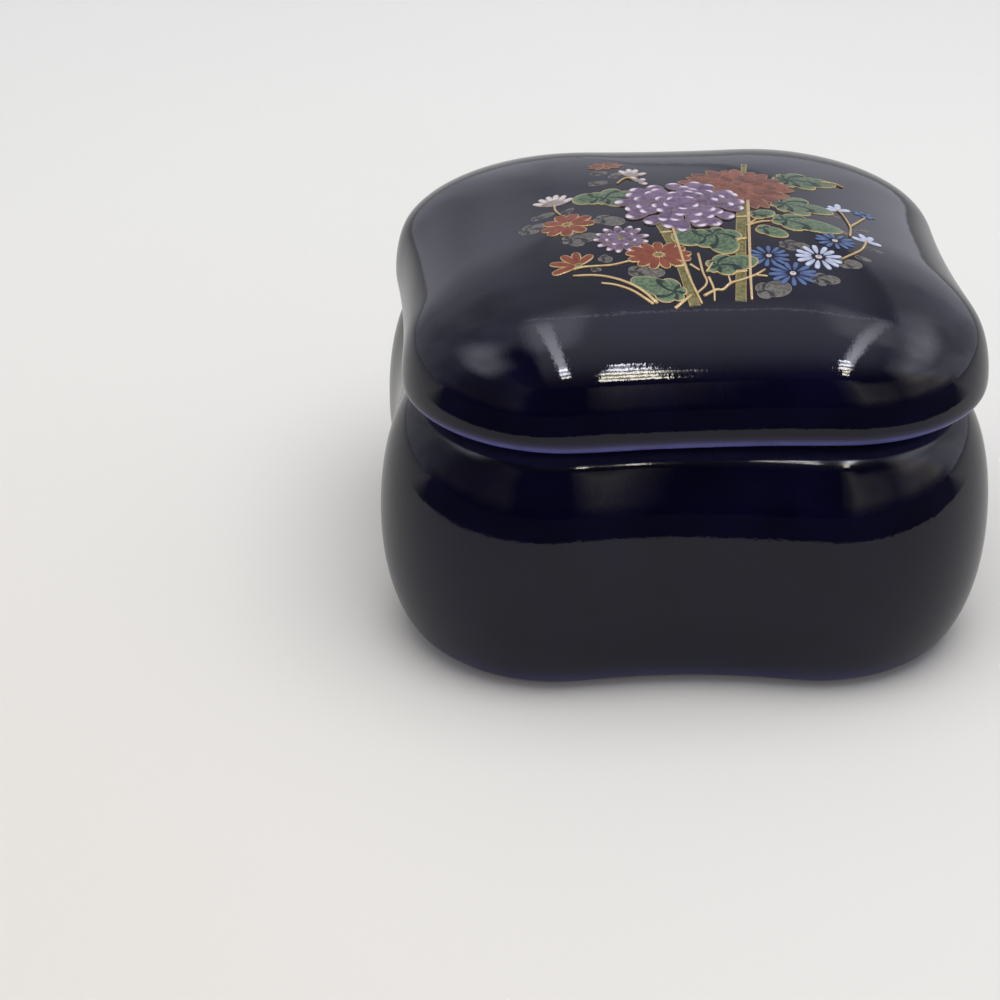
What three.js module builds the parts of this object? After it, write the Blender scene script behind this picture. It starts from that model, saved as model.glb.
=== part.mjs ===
// A small porcelain trinket box: a hollow cushion-shaped base and a domed lid that lifts off.
//
// Both pieces are square in plan with large round corners, and each side is drawn in a little,
// so that the plan is four round lobes joined by shallow hollow arcs. Every wall is a stack of
// such outlines, drawn in by different amounts at different heights.
//
// Units are millimetres. +Z is up, +X is right and -Y is the front.
// The origin is on the table, under the middle of the box.

import * as THREE from 'three';

// The plan of the base and the lid
const BASE_WIDTH = 64.2;
const BASE_CORNER_RADIUS = 18.4;
const BASE_PINCH = 1.2;
const LID_SETBACK = 1.8;
const LID_PINCH = 0.5;

// The outside of the base
const BASE_HEIGHT = 27;
const BASE_BELLY_HEIGHT = 13.2;
const FOOT_INSET = 5.3;
const SHOULDER_INSET = 5;
const BASE_ROUNDNESS = 2.05;

// The inside of the base
const BASE_WALL = 3;
const FLOOR_THICKNESS = 3.2;
const LEDGE_THICKNESS = 3;
const INNER_CORNER_ROUNDNESS = 2.8;
const INNER_FLOOR_INSET = 5;

// The foot ring under the base
const FOOT_RING_WIDTH = 2.6;
const FOOT_RECESS = 1.2;
const FOOT_RECESS_SLOPE = 0.8;

// The collar that stands inside the lid's rim and keeps the lid in place. It fits loosely, and
// the lid has turned on it by a share of the angle that the clearance leaves free.
const COLLAR_HEIGHT = 2.2;
const COLLAR_THICKNESS = 2.2;
const COLLAR_CLEARANCE = 1;
const TURNED_SHARE = 0.72;

// The lid
const LID_BELLY_RISE = 3.4;
const LID_CROWN_RISE = 12.5;
const LID_CROWN_ROUNDNESS = 2.17;
const LID_WALL = 3;
const LID_RIM_WIDTH = 3;
const LID_RIM_LIP = 1.2;
const SEAT_GAP = 0.3;

// How finely the curves are cut into straight steps
const CORNER_STEPS = 10;
const SIDE_STEPS = 6;
const OUTSIDE_STEPS = 9;
const INSIDE_STEPS = 7;
const CROWN_STEPS = 11;
const LIP_STEPS = 4;
const COLLAR_TOP_STEPS = 3;

// The colours of the finished porcelain
const COBALT_GLAZE = 0x0b0c22;

// Heights and sizes that follow from the ones above
const LID_WIDTH = BASE_WIDTH - 2 * LID_SETBACK;
const RIM_HEIGHT = BASE_HEIGHT + SEAT_GAP;
const LID_BELLY_HEIGHT = RIM_HEIGHT + LID_BELLY_RISE;
const LID_RIM_INSET = SHOULDER_INSET - LID_SETBACK;
const INNER_FLOOR_HEIGHT = FOOT_RECESS + FLOOR_THICKNESS;

// An outline says how wide the plan is at one height, how round its corners are and how far
// the middle of each side is drawn in.
const BASE_OUTLINE = {
  halfWidth: BASE_WIDTH / 2,
  cornerRadius: BASE_CORNER_RADIUS,
  pinch: BASE_PINCH,
};
const LID_OUTLINE = {
  halfWidth: LID_WIDTH / 2,
  cornerRadius: BASE_CORNER_RADIUS - LID_SETBACK,
  pinch: LID_PINCH,
};

// The same outline moved in by a constant distance: the corner arcs and the hollow side arcs
// keep their centres, so the wall between two such outlines has one true thickness.
function drawnIn(outline, distance) {
  return {
    halfWidth: outline.halfWidth - distance,
    cornerRadius: outline.cornerRadius - distance,
    pinch: outline.pinch,
  };
}

// The points of an outline, counter-clockwise from the middle of the right side. One quarter is
// half a hollow side arc, a corner arc and another half side arc, and it is turned four times.
function outlinePoints({ halfWidth, cornerRadius, pinch }) {
  const cornerCentre = halfWidth - cornerRadius;
  const sideRadius = (cornerCentre ** 2 + pinch ** 2) / (2 * pinch) - cornerRadius;
  const sideCentre = halfWidth - pinch + sideRadius;
  const sideAngle = Math.atan2(cornerCentre, sideCentre - cornerCentre);
  const halfSide = SIDE_STEPS / 2;
  const quarter = [];
  for (let step = 0; step < halfSide; step += 1) {
    const angle = (sideAngle * step) / halfSide;
    const x = sideCentre - sideRadius * Math.cos(angle);
    quarter.push(new THREE.Vector2(x, sideRadius * Math.sin(angle)));
  }
  for (let step = 0; step <= CORNER_STEPS; step += 1) {
    const angle = -sideAngle + ((Math.PI / 2 + 2 * sideAngle) * step) / CORNER_STEPS;
    const x = cornerCentre + cornerRadius * Math.cos(angle);
    quarter.push(new THREE.Vector2(x, cornerCentre + cornerRadius * Math.sin(angle)));
  }
  for (let step = halfSide - 1; step > 0; step -= 1) {
    const angle = (sideAngle * step) / halfSide;
    const y = sideCentre - sideRadius * Math.cos(angle);
    quarter.push(new THREE.Vector2(sideRadius * Math.sin(angle), y));
  }
  const centre = new THREE.Vector2();
  const turns = [0, 1, 2, 3].map((turn) => (turn * Math.PI) / 2);
  return turns.flatMap((turn) => quarter.map((point) => point.clone().rotateAround(centre, turn)));
}

// A level is one ring of points at one height. A scale below 1 shrinks the whole ring towards
// the middle, so that the hollows of the sides fade out on a crown.
function level(outline, height, scale = 1) {
  const points = outlinePoints(outline);
  return points.map(({ x, y }) => new THREE.Vector3(x * scale, y * scale, height));
}

// One quarter of a superellipse as pairs [across, up], each from 0 to 1. It starts upright at
// [0, 0] and ends level at [1, 1]; a roundness of 2 is a true ellipse, and more is squarer.
function quarterCurve(roundness, steps) {
  const power = 2 / roundness;
  return Array.from({ length: steps + 1 }, (_, step) => {
    const angle = (step / steps) * (Math.PI / 2);
    return [1 - Math.abs(Math.cos(angle)) ** power, Math.sin(angle) ** power];
  });
}

// A closed body from a stack of levels that runs from the middle of the underside, round the
// outside, over the top and back down the inside. Each end of the stack is closed by a fan of
// triangles to one point on the axis.
function closedBody(levels, firstHeight, lastHeight) {
  const perLevel = levels[0].length;
  const positions = [new THREE.Vector3(0, 0, firstHeight), ...levels.flat()];
  positions.push(new THREE.Vector3(0, 0, lastHeight));
  const last = positions.length - 1;
  const at = (row, column) => 1 + row * perLevel + (column % perLevel);
  const faces = [];
  for (let column = 0; column < perLevel; column += 1) {
    faces.push(0, at(0, column + 1), at(0, column));
    faces.push(last, at(levels.length - 1, column), at(levels.length - 1, column + 1));
  }
  for (let row = 0; row + 1 < levels.length; row += 1) {
    for (let column = 0; column < perLevel; column += 1) {
      faces.push(at(row, column), at(row, column + 1), at(row + 1, column + 1));
      faces.push(at(row, column), at(row + 1, column + 1), at(row + 1, column));
    }
  }
  const geometry = new THREE.BufferGeometry().setFromPoints(positions);
  geometry.setIndex(faces);
  geometry.computeVertexNormals();
  return geometry;
}

// The lid's rim and the collar inside it share one outline, so that they always fit
const RIM_INNER_INSET = LID_RIM_INSET + LID_RIM_WIDTH;
const COLLAR_OUTER = drawnIn(LID_OUTLINE, RIM_INNER_INSET + COLLAR_CLEARANCE);
const MOUTH = drawnIn(COLLAR_OUTER, COLLAR_THICKNESS);

// The lid's corner arcs swing round the middle of the box at this distance, along either side,
// so the lid is stopped by its collar where the swing has used up the clearance
const CORNER_CENTRE = LID_OUTLINE.halfWidth - LID_OUTLINE.cornerRadius;
const LID_TURN = TURNED_SHARE * Math.asin(COLLAR_CLEARANCE / CORNER_CENTRE);

// The recessed underside and the flat ring that the box stands on
function footLevels() {
  const ringInset = FOOT_INSET + FOOT_RING_WIDTH;
  return [
    level(drawnIn(BASE_OUTLINE, ringInset + FOOT_RECESS_SLOPE), FOOT_RECESS),
    level(drawnIn(BASE_OUTLINE, ringInset), 0),
  ];
}

// The outside of the base, from the table out to the belly and in again to the ledge
function baseOutsideLevels() {
  const curve = quarterCurve(BASE_ROUNDNESS, OUTSIDE_STEPS);
  const lower = curve.toReversed().map(([across, up]) =>
    level(drawnIn(BASE_OUTLINE, FOOT_INSET * across), BASE_BELLY_HEIGHT * (1 - up)));
  const shoulderRise = BASE_HEIGHT - BASE_BELLY_HEIGHT;
  const upper = curve.slice(1).map(([across, up]) =>
    level(drawnIn(BASE_OUTLINE, SHOULDER_INSET * across), BASE_BELLY_HEIGHT + shoulderRise * up));
  return [...lower, ...upper];
}

// The collar, from the ledge up, over its rounded top and down to the mouth of the box
function collarLevels() {
  const roundHeight = COLLAR_THICKNESS / 2;
  const top = BASE_HEIGHT + COLLAR_HEIGHT;
  const levels = [level(COLLAR_OUTER, BASE_HEIGHT)];
  for (let step = 0; step <= 2 * COLLAR_TOP_STEPS; step += 1) {
    const angle = (step / (2 * COLLAR_TOP_STEPS)) * Math.PI;
    const across = roundHeight * (1 - Math.cos(angle));
    levels.push(level(drawnIn(COLLAR_OUTER, across), top - roundHeight * (1 - Math.sin(angle))));
  }
  return levels;
}

// The inside of the base, from the mouth out under the shoulder, down the wall and in to the
// floor. Under the shoulder the plan changes gradually from the mouth's to the belly's.
function baseInsideLevels() {
  const belly = drawnIn(BASE_OUTLINE, BASE_WALL);
  const ceiling = BASE_HEIGHT - LEDGE_THICKNESS;
  const curve = quarterCurve(INNER_CORNER_ROUNDNESS, INSIDE_STEPS);
  const upper = curve.toReversed().map(([across, up]) => {
    const height = BASE_BELLY_HEIGHT + (ceiling - BASE_BELLY_HEIGHT) * up;
    const outer = level(belly, height);
    const inner = level(MOUTH, height);
    return outer.map((point, index) => point.lerp(inner[index], across));
  });
  const depth = BASE_BELLY_HEIGHT - INNER_FLOOR_HEIGHT;
  const lower = quarterCurve(BASE_ROUNDNESS, INSIDE_STEPS).slice(1).map(([across, up]) =>
    level(drawnIn(belly, INNER_FLOOR_INSET * across), BASE_BELLY_HEIGHT - depth * up));
  return [...upper, ...lower];
}

function makeBase() {
  const levels = [
    ...footLevels(),
    ...baseOutsideLevels(),
    ...collarLevels(),
    ...baseInsideLevels(),
  ];
  return closedBody(levels, FOOT_RECESS, INNER_FLOOR_HEIGHT);
}

// One face of the lid's crown, from its widest outline up to just short of the middle
function crownLevels(outline, bellyHeight, rise) {
  const power = 2 / LID_CROWN_ROUNDNESS;
  return Array.from({ length: CROWN_STEPS }, (_, step) => {
    const angle = ((CROWN_STEPS - step) / CROWN_STEPS) * (Math.PI / 2);
    const height = bellyHeight + rise * Math.abs(Math.cos(angle)) ** power;
    return level(outline, height, Math.sin(angle) ** power);
  });
}

// The outside of the lid, from the rim out to its widest line and up over the crown
function lidOutsideLevels() {
  const under = quarterCurve(2, OUTSIDE_STEPS - 2).toReversed().map(([across, up]) =>
    level(drawnIn(LID_OUTLINE, LID_RIM_INSET * across), LID_BELLY_HEIGHT - LID_BELLY_RISE * up));
  return [...under.slice(0, -1), ...crownLevels(LID_OUTLINE, LID_BELLY_HEIGHT, LID_CROWN_RISE)];
}

// The inside of the lid: the upright lip of the rim, the hollow behind it and the crown
function lidInsideLevels() {
  const belly = drawnIn(LID_OUTLINE, LID_WALL);
  const lipInset = RIM_INNER_INSET - LID_WALL;
  const lipTop = RIM_HEIGHT + LID_RIM_LIP;
  const bellyHeight = lipTop + LID_WALL;
  const under = quarterCurve(2, LIP_STEPS).toReversed().map(([across, up]) =>
    level(drawnIn(belly, lipInset * across), bellyHeight - LID_WALL * up));
  const crownTop = LID_BELLY_HEIGHT + LID_CROWN_RISE - LID_WALL;
  return [
    level(drawnIn(belly, lipInset), RIM_HEIGHT),
    ...under.slice(0, -1),
    ...crownLevels(belly, bellyHeight, crownTop - bellyHeight),
  ];
}

// The lid's stack runs from the middle of its underside down the inside and up the outside
function makeLid() {
  const levels = [...lidInsideLevels().toReversed(), ...lidOutsideLevels()];
  const outerTop = LID_BELLY_HEIGHT + LID_CROWN_RISE;
  return closedBody(levels, outerTop - LID_WALL, outerTop);
}

function porcelainPiece(name, geometry) {
  const glaze = new THREE.MeshStandardMaterial({
    color: COBALT_GLAZE,
    roughness: 0.06,
    metalness: 0,
  });
  const piece = new THREE.Mesh(geometry, glaze);
  piece.name = name;
  return piece;
}

const base = porcelainPiece('box_base', makeBase());
const lid = porcelainPiece('lid', makeLid());
lid.rotation.z = LID_TURN;

const group = new THREE.Group();
group.add(base, lid);

export default group;
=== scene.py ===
# %% [markdown]
# # A cobalt-glazed trinket box with an enamelled lid
# The box is two pieces of cast porcelain: a hollow cushion-shaped base and a domed lid that lies
# loose on it. Both are dipped in a dark cobalt glaze, and a spray of flowers is laid on the lid
# in raised enamels and gold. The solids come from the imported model, which is loaded first.
# Everything below is built around it, in the same frame: metres, +Z up and -Y to the front.

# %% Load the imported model
from functools import reduce

import bpy
import numpy as np
from mathutils import Matrix, Vector


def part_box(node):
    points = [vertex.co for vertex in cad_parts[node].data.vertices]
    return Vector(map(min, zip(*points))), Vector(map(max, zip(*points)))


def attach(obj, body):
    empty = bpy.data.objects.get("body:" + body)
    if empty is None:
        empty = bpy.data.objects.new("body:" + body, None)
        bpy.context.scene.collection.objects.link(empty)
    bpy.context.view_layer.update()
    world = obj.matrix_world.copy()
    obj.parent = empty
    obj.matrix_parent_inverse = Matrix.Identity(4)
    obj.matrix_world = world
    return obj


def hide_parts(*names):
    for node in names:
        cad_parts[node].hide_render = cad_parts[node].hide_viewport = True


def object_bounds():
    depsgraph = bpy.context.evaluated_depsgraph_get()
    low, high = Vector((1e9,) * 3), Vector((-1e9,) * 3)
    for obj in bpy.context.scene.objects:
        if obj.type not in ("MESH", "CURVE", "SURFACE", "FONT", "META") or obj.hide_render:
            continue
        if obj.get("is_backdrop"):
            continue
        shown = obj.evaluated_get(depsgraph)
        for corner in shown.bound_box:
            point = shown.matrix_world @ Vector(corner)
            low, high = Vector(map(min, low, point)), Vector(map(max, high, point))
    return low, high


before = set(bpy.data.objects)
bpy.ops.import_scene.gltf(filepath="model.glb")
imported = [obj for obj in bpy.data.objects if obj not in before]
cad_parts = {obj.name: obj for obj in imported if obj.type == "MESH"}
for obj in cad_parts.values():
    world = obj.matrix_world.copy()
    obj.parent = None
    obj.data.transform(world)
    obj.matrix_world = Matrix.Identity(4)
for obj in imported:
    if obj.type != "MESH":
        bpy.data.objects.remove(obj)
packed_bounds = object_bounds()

MM = 0.001
print("nodes in the packed model:", sorted(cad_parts))

# %% [markdown]
# ## The camera
# The view looks down on the box from the front, at an angle of about 28 degrees. A long lens
# keeps the verticals nearly parallel. A camera looks along its own -Z with +Y up, so its three
# axes are worked out from how far it looks down, sideways and how much it leans.

# %% Camera
SENSOR_WIDTH = 36.0
FOCAL_LENGTH = 90.65
CAMERA_PLACE = np.array([-20.745, -248.666, 141.615])
LOOKS_DOWN = np.radians(28.5)
LOOKS_RIGHT = np.radians(0.318)
LEANS = np.radians(0.096)


def camera_axes(down, right, lean):
    """The camera's right, up and back directions as columns. It looks forward and down, its
    right is level, and both right and up are then turned about the view by the lean."""
    forward = np.array([np.sin(right) * np.cos(down), np.cos(right) * np.cos(down), -np.sin(down)])
    level_right = np.array([np.cos(right), -np.sin(right), 0.0])
    screen_down = np.cross(forward, level_right)
    turned_right = np.cos(lean) * level_right + np.sin(lean) * screen_down
    turned_up = np.sin(lean) * level_right - np.cos(lean) * screen_down
    return np.stack([turned_right, turned_up, -forward], axis=1)


camera_data = bpy.data.cameras.new("camera")
camera_data.sensor_width = SENSOR_WIDTH
camera_data.lens = FOCAL_LENGTH
camera_data.clip_start = 0.01
camera = bpy.data.objects.new("camera", camera_data)
bpy.context.scene.collection.objects.link(camera)
camera_turn = Matrix(camera_axes(LOOKS_DOWN, LOOKS_RIGHT, LEANS).tolist()).to_4x4()
camera.matrix_world = Matrix.Translation(Vector(CAMERA_PLACE * MM)) @ camera_turn
bpy.context.scene.camera = camera
print("camera at", [round(value, 1) for value in CAMERA_PLACE], "mm")

# %% [markdown]
# ## The plan of the box
# Seen from above, base and lid are squares with large round corners and sides drawn in a
# little: four lobes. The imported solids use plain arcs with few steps. A polished glaze shows
# every jump of curvature in its reflections, so here the same arcs are cut much finer and then
# eased a little, which is also what slip casting and a flowing glaze do to a sharp change.

# %% Sizes in millimetres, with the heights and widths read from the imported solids
base_low, base_high = (np.array(corner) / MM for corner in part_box("box_base"))
lid_low, lid_high = (np.array(corner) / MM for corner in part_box("lid"))
BASE_HALF_WIDTH = base_high[0]
BASE_CORNER_RADIUS = 18.4
BASE_PINCH = 1.2
LID_SETBACK = 1.8
LID_PINCH = 0.5
RIM_HEIGHT = lid_low[2]
LID_TOP = lid_high[2]
COLLAR_TOP = base_high[2]
print("base", np.round(base_high - base_low, 2), "lid", np.round(lid_high - lid_low, 2))

# %% The plan as a smooth closed line
AROUND = 360
PLAN_EASING = 2.4


def plan_line(half_width, corner_radius, pinch):
    """Points and outward normals of a plan, evenly spaced, counter-clockwise from the middle of
    the right side. One quarter is half a hollow side arc, a corner arc of radius R about (c, c)
    with c = half width - R, and half a side arc again. The side arc has the radius
    (c^2 + p^2) / 2p - R for the pinch p. The line is then eased: each of its waves of length w
    is multiplied by 2g - g^2 with g = exp(-2 (pi easing / w)^2), which spares the long ones."""
    centre = half_width - corner_radius
    side_radius = (centre**2 + pinch**2) / (2 * pinch) - corner_radius
    side_centre = half_width - pinch + side_radius
    side_angle = np.arctan2(centre, side_centre - centre)
    side_length = side_radius * side_angle
    corner_length = corner_radius * (np.pi / 2 + 2 * side_angle)
    quarter_length = 2 * side_length + corner_length
    along = np.linspace(0, quarter_length, AROUND // 4, endpoint=False)
    near = along / side_radius
    corner = (along - side_length) / corner_radius - side_angle
    far = (quarter_length - along) / side_radius
    stretch = [along < side_length, along < side_length + corner_length]
    x = np.select(stretch, [side_centre - side_radius * np.cos(near),
                            centre + corner_radius * np.cos(corner)], side_radius * np.sin(far))
    y = np.select(stretch, [side_radius * np.sin(near), centre + corner_radius * np.sin(corner)],
                  side_centre - side_radius * np.cos(far))
    line = np.concatenate([(x + 1j * y) * 1j**turn for turn in range(4)])
    waves = np.fft.fftfreq(AROUND, 4 * quarter_length / AROUND)
    kept = np.exp(-2 * (np.pi * PLAN_EASING * waves) ** 2)
    spectrum = np.fft.fft(line) * (2 * kept - kept**2)
    line = np.fft.ifft(spectrum)
    normal = -1j * np.fft.ifft(spectrum * 2j * np.pi * waves)
    normal = normal / np.abs(normal)
    return np.stack([line.real, line.imag], -1), np.stack([normal.real, normal.imag], -1)


BASE_PLAN = plan_line(BASE_HALF_WIDTH, BASE_CORNER_RADIUS, BASE_PINCH)
LID_PLAN = plan_line(BASE_HALF_WIDTH - LID_SETBACK, BASE_CORNER_RADIUS - LID_SETBACK, LID_PINCH)
print("widest lid point", round(float(LID_PLAN[0][:, 0].max()), 2), "mm from the middle")

# %% [markdown]
# ## Walls as stacks of rings
# Each wall is drawn once as a section: how far the plan is drawn in, and at what height. A ring
# is the plan moved in along its normals, so the wall keeps its true thickness all round. Every
# ring also carries two marks for the glaze: where it is wiped off, which leaves bare porcelain,
# and where it has run thin over an edge.

# %% Rings, and the curve of a belly
def rings(plan, drawn_in, heights, scale=1.0, bare=0.0, thin=0.0):
    """Rings as an array (rings, around, 5): x, y, z and the two marks. Each ring is the plan
    less drawn_in times its normals, shrunk towards the middle by the scale."""
    drawn_in, heights, scale, bare, thin = np.broadcast_arrays(
        *(np.atleast_1d(value).astype(float) for value in (drawn_in, heights, scale, bare, thin)))
    points, normals = plan
    flat = (points - drawn_in[:, None, None] * normals) * scale[:, None, None]
    marks = np.stack([heights, bare, thin], -1)[:, None, :] * np.ones((1, AROUND, 1))
    return np.concatenate([flat, marks], -1)


def quarter_curve(roundness, steps=48):
    """A quarter of a superellipse: across = 1 - cos^(2/m), up = sin^(2/m), from upright to
    level, for the roundness m."""
    angle = np.linspace(0, np.pi / 2, steps + 1)
    power = 2 / roundness
    return 1 - np.abs(np.cos(angle)) ** power, np.sin(angle) ** power


# %% A section that is softened as a glazed edge is
EDGE_SOFTNESS = 0.16
SECTION_STEP = 0.05
WIDEST_ROW = 1.3
SHARPEST_BEND = np.radians(7.0)


def soften(section, name):
    """The section cut evenly, averaged along itself with a bell curve, and cut again into rows
    that are close together where it bends. Distances are those of one corner's column."""
    column = section[:, AROUND // 8, :3]
    length = np.concatenate([[0], np.cumsum(np.linalg.norm(np.diff(column, axis=0), axis=1))])
    even = np.arange(0, length[-1], SECTION_STEP)

    def cut(places, rows, wanted):
        """Rows at the wanted places, straight between the given ones."""
        after = np.clip(np.searchsorted(places, wanted), 1, len(places) - 1)
        share = (wanted - places[after - 1]) / (places[after] - places[after - 1])
        share = np.clip(share, 0, 1)[:, None, None]
        return rows[after - 1] * (1 - share) + rows[after] * share

    length = length + np.arange(len(length)) * 1e-9
    dense = cut(length, section, even)
    reach = int(3 * EDGE_SOFTNESS / SECTION_STEP)
    bell = np.exp(-0.5 * (np.arange(-reach, reach + 1) * SECTION_STEP / EDGE_SOFTNESS) ** 2)
    padded = np.concatenate([dense[:1]] * reach + [dense] + [dense[-1:]] * reach)
    soft = sum(weight * padded[shift:shift + len(dense)] for shift, weight in enumerate(bell))
    soft = soft / bell.sum()
    soft[[0, -1]] = dense[[0, -1]]
    column = soft[:, AROUND // 8, :3]
    steps = np.diff(column, axis=0)
    heading = np.unwrap(np.arctan2(steps[:, 2], np.hypot(steps[:, 0], steps[:, 1])
                                   * np.sign((steps[:, :2] * column[1:, :2]).sum(1) + 1e-12)))
    bend = np.abs(np.gradient(heading))
    need = np.linalg.norm(steps, axis=1) / WIDEST_ROW + bend / SHARPEST_BEND
    need = np.concatenate([[0], np.cumsum(need)])
    rows = int(np.ceil(need[-1])) + 1
    picked = cut(need + np.arange(len(need)) * 1e-9, soft, np.linspace(0, need[-1], rows))
    print(name, "section", round(float(length[-1]), 1), "mm in", rows, "rows")
    return picked


# %% [markdown]
# ## The base
# The section starts in the middle of the recessed underside, runs over the foot ring that the
# box stands on, out round the belly and in to the ledge. The collar that keeps the lid in place
# stands on the ledge, and the section goes over it and down inside. The foot ring and the ledge
# are wiped free of glaze before firing, or they would stick to the kiln shelf and to the lid.

# %% The section of the base
BASE_HEIGHT = 27.0
BASE_BELLY = 13.2
FOOT_INSET = 5.3
SHOULDER_INSET = 5.0
BASE_ROUNDNESS = 2.05
BASE_WALL = 3.0
INNER_FLOOR = 4.4
INNER_FLOOR_INSET = 5.0
LEDGE_THICKNESS = 3.0
INNER_ROUNDNESS = 2.8
FOOT_RING_WIDTH = 2.6
FOOT_RECESS = 1.2
FOOT_SLOPE = 0.8
COLLAR_INSET = 7.2
COLLAR_THICKNESS = 2.2
SMALLEST_RING = 0.02
FOOT_EDGE = 0.3
FOOT_FLAT_FROM = 0.4
LEDGE_WIDTH = 1.9
COLLAR_FILLET = 0.2
THIN_AT_FOOT = 0.8
THIN_REACH = 0.9
THIN_ON_COLLAR = 0.35
DULL_FROM = 0.9
DULL_SHOULDER = 0.3


def base_section():
    """All rings of the base in one stack, from the middle of the underside to the middle of the
    floor inside. Lower and upper belly are quarter superellipses, the collar's top is half a
    circle, and under the ledge the plan passes from the mouth's to the belly's."""
    ring_inset = FOOT_INSET + FOOT_RING_WIDTH
    inwards = np.linspace(SMALLEST_RING, 1, 12)
    underside = rings(BASE_PLAN, ring_inset + FOOT_SLOPE, FOOT_RECESS, inwards)
    foot = rings(BASE_PLAN, [ring_inset + FOOT_EDGE, ring_inset, ring_inset - 0.05,
                             FOOT_INSET + FOOT_FLAT_FROM],
                 [0.35, 0.0, 0.0, 0.0], bare=[0, 1, 1, 1])
    across, up = quarter_curve(BASE_ROUNDNESS)
    lower_height = BASE_BELLY * (1 - up[::-1])
    lower = rings(BASE_PLAN, FOOT_INSET * across[::-1], lower_height,
                  bare=(lower_height < FOOT_EDGE) * 1.0,
                  thin=THIN_AT_FOOT * np.exp(-lower_height / THIN_REACH))
    rise = BASE_HEIGHT - BASE_BELLY
    dulled = DULL_SHOULDER * np.clip((up[1:] - DULL_FROM) / (1 - DULL_FROM), 0, 1)
    upper = rings(BASE_PLAN, SHOULDER_INSET * across[1:], BASE_BELLY + rise * up[1:], bare=dulled)
    ledge = rings(LID_PLAN, [COLLAR_INSET - LEDGE_WIDTH, COLLAR_INSET - COLLAR_FILLET, COLLAR_INSET],
                  [BASE_HEIGHT, BASE_HEIGHT, BASE_HEIGHT + COLLAR_FILLET], bare=[1, 1, 1])
    turn = np.linspace(0, np.pi, 25)
    radius = COLLAR_THICKNESS / 2
    collar = rings(LID_PLAN, COLLAR_INSET + radius * (1 - np.cos(turn)),
                   COLLAR_TOP - radius * (1 - np.sin(turn)), bare=np.cos(turn) > 0.2, thin=THIN_ON_COLLAR)
    across, up = quarter_curve(INNER_ROUNDNESS)
    ceiling = BASE_HEIGHT - LEDGE_THICKNESS
    height = BASE_BELLY + (ceiling - BASE_BELLY) * up[::-1]
    share = across[::-1, None, None]
    mouth = rings(LID_PLAN, COLLAR_INSET + COLLAR_THICKNESS, height)
    belly = rings(BASE_PLAN, BASE_WALL, height)
    hollow = belly + share * (mouth - belly)
    across, up = quarter_curve(BASE_ROUNDNESS)
    lower_inside = rings(BASE_PLAN, BASE_WALL + INNER_FLOOR_INSET * across[1:],
                         BASE_BELLY - (BASE_BELLY - INNER_FLOOR) * up[1:])
    floor = rings(BASE_PLAN, BASE_WALL + INNER_FLOOR_INSET, INNER_FLOOR, inwards[::-1][1:])
    return np.concatenate([underside, foot, lower, upper, ledge, collar, hollow, lower_inside, floor])


base_rows = soften(base_section(), "base")

# %% [markdown]
# ## The lid
# The lid overhangs the collar and lies on the ledge, turned by about three degrees as far as
# its loose fit lets it. Its crown is the plan shrunk towards the middle while it rises, so that
# the hollows of the sides fade out on top. The same formula gives the crown's height at any
# place, and the enamels are laid on that. The side below is fuller: its widest place is drawn
# down towards the rim, where the glaze has run thin and lets the violet through.

# %% The section of the lid
LID_BELLY_RISE = 3.4
LID_BELLY = RIM_HEIGHT + LID_BELLY_RISE
CROWN_RISE = LID_TOP - LID_BELLY
CROWN_ROUNDNESS = 2.17
LID_WALL = 3.0
LID_RIM_INSET = SHOULDER_INSET - LID_SETBACK
RIM_WIDTH = 3.0
RIM_INNER_INSET = LID_RIM_INSET + RIM_WIDTH
RIM_LIP = 1.2
LID_TURN = np.radians(2.93)
BELLY_DROP = 1.25
DROP_ABOVE = 4.2
THIN_AT_RIM = 1.25


def crown_rings(drawn_in, belly, rise, steps=60):
    """Rings from the belly up to the middle: scale = sin^(2/m), height = cos^(2/m)."""
    angle = np.linspace(np.pi / 2, 0, steps, endpoint=False)
    scale = np.maximum(np.sin(angle) ** (2 / CROWN_ROUNDNESS), SMALLEST_RING)
    height = belly + rise * np.abs(np.cos(angle)) ** (2 / CROWN_ROUNDNESS)
    return rings(LID_PLAN, drawn_in, height, scale)


def drawn_down(stack):
    """The rings lowered about the belly by BELLY_DROP cos^2, which fades out at the rim and
    DROP_ABOVE over the belly."""
    above = stack[..., 2] - LID_BELLY
    share = np.clip(above / np.where(above > 0, DROP_ABOVE, LID_BELLY_RISE), -1, 1)
    lowered = stack.copy()
    lowered[..., 2] -= BELLY_DROP * np.cos(np.pi / 2 * share) ** 2
    return lowered


def lid_section():
    """All rings of the lid in one stack, from the middle of the hollow, down the inside, over
    the wiped rim and up the outside to the middle of the crown."""
    lip_top = RIM_HEIGHT + RIM_LIP
    inner_belly = lip_top + LID_WALL
    inner_top = LID_TOP - LID_WALL
    inside = crown_rings(LID_WALL, inner_belly, inner_top - inner_belly)[::-1]
    across, up = quarter_curve(2)
    hollow = rings(LID_PLAN, LID_WALL + (RIM_INNER_INSET - LID_WALL) * across[1:],
                   inner_belly - LID_WALL * up[1:])
    rim = rings(LID_PLAN, [RIM_INNER_INSET, RIM_INNER_INSET - 0.1, LID_RIM_INSET + 0.5],
                [RIM_HEIGHT + 0.1, RIM_HEIGHT, RIM_HEIGHT], bare=[1, 1, 1], thin=[1, 1, 1])
    height = RIM_HEIGHT + LID_BELLY_RISE * (1 - up[::-1])
    thin = np.minimum(THIN_AT_RIM * (1 - ((height - RIM_HEIGHT) / LID_BELLY_RISE) ** 2) ** 1.6, 1)
    under = rings(LID_PLAN, LID_RIM_INSET * across[::-1], height, thin=thin)
    outside = crown_rings(0, LID_BELLY, CROWN_RISE)
    return np.concatenate([inside, hollow, rim, drawn_down(np.concatenate([under, outside[1:]]))])


lid_rows = soften(lid_section(), "lid")

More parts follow.
